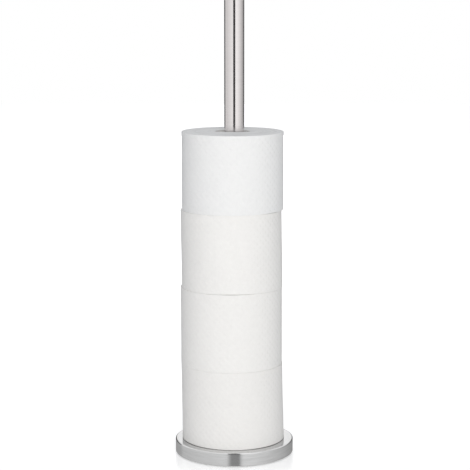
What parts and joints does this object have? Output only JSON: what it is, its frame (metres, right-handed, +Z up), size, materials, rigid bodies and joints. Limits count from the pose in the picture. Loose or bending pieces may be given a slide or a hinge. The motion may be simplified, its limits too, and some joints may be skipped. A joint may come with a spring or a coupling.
{
  "type": "toilet roll storage holder",
  "caption": "Free-standing spare toilet roll holder: an upright brushed steel tube on a round weighted foot, with a stack of toilet rolls lowered over the tube.",
  "frame": {"origin": "centre of the foot, on the floor", "axes": "+Z up along the tube, front of the holder towards -Y, +X to the right seen from the front"},
  "size_m": [0.145, 0.145, 0.553],
  "materials": {
    "brushed_steel": "satin",
    "cast_weight": "matte",
    "zinc_plated_steel": "satin",
    "soft_pad": "matte",
    "wound_tissue": "matte",
    "core_board": "matte"
  },
  "bodies": {
    "stand": {"floor_pad": "soft_pad", "base_weight": "cast_weight", "base_cover": "brushed_steel", "fixing_bolt": "zinc_plated_steel", "spring_washer": "zinc_plated_steel", "flat_washer": "zinc_plated_steel", "post_tube": "brushed_steel", "post_insert": "zinc_plated_steel", "post_cap": "brushed_steel"},
    "bottom_roll": {"bottom_roll_paper": "wound_tissue", "bottom_roll_core": "core_board"},
    "lower_roll": {"lower_roll_paper": "wound_tissue", "lower_roll_core": "core_board"},
    "upper_roll": {"upper_roll_paper": "wound_tissue", "upper_roll_core": "core_board"},
    "top_roll": {"top_roll_paper": "wound_tissue", "top_roll_core": "core_board"}
  },
  "joints": [
    {"name": "bottom_roll_lift", "type": "slide", "parent": "stand", "child": "bottom_roll", "axis": [0, 0, 1], "range_m": [0, 0.546]},
    {"name": "lower_roll_lift", "type": "slide", "parent": "bottom_roll", "child": "lower_roll", "axis": [0, 0, 1], "range_m": [0, 0.4512]},
    {"name": "upper_roll_lift", "type": "slide", "parent": "lower_roll", "child": "upper_roll", "axis": [0, 0, 1], "range_m": [0, 0.3564]},
    {"name": "top_roll_lift", "type": "slide", "parent": "upper_roll", "child": "top_roll", "axis": [0, 0, 1], "range_m": [0, 0.2616]}
  ]
}
